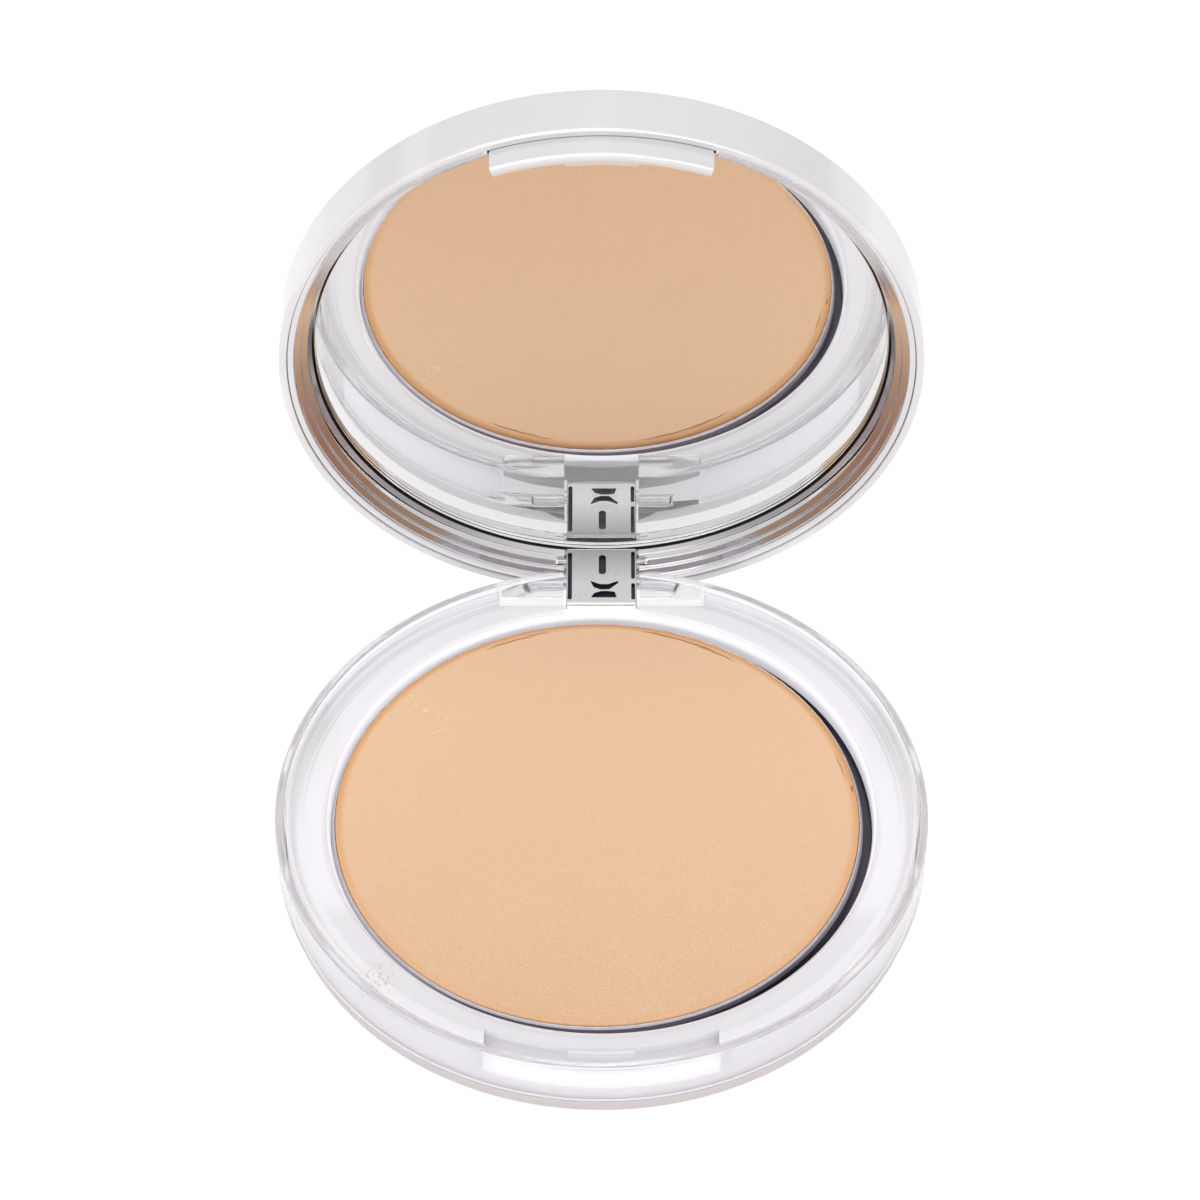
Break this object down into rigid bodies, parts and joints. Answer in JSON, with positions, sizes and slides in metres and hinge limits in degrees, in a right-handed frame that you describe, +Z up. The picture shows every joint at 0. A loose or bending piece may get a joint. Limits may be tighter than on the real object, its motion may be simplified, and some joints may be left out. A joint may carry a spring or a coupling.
{
  "type": "powder compact",
  "caption": "Round powder compact with a clear base, a pearl-silver tray, a hinged silvered lid with a mirror, a plated hinge link, a latch tongue and pressed powder in a metal pan.",
  "frame": {"origin": "centre of the flat underside of the base, where the compact stands on the table", "axes": "+Z up from the table, +Y towards the hinge at the back, +X to the user's right as they look into the mirror"},
  "size_m": [0.08, 0.091, 0.0811],
  "materials": {
    "clear_shell": "clear polished acrylic",
    "pearl_tray": "glossy pearl-silver plastic",
    "silvered_shell": "silver-metallised plastic under a clear lacquer",
    "silvered_frame": "bright silver-metallised plastic",
    "label_paper": "blank satin label",
    "adhesive": "soft glue pad",
    "pan_metal": "thin drawn tinplate",
    "powder": "pressed face powder, fine matt grain",
    "pin_steel": "plain steel wire",
    "plated_link": "bright plated, lightly hazed",
    "mirror": "silvered glass",
    "lid_disc": "plain satin silver"
  },
  "bodies": {
    "base": {"base_shell": "clear_shell", "bottom_label": "label_paper", "base_tray": "pearl_tray", "pan_adhesive": "adhesive", "powder_pan": "pan_metal", "powder_cake": "powder", "hinge_pin": "pin_steel"},
    "lid": {"lid_shell": "silvered_shell", "lid_bezel": "silvered_frame", "latch_tab": "silvered_frame", "mirror_glass": "mirror", "mirror_adhesive": "adhesive", "lid_disc": "lid_disc", "hinge_link": "plated_link"}
  },
  "joints": [
    {"name": "lid_hinge", "type": "hinge", "parent": "base", "child": "lid", "pos_m": [0, 0.0375, 0.00354], "axis": [1, 0, 0], "range_deg": [0, 89.5]}
  ]
}
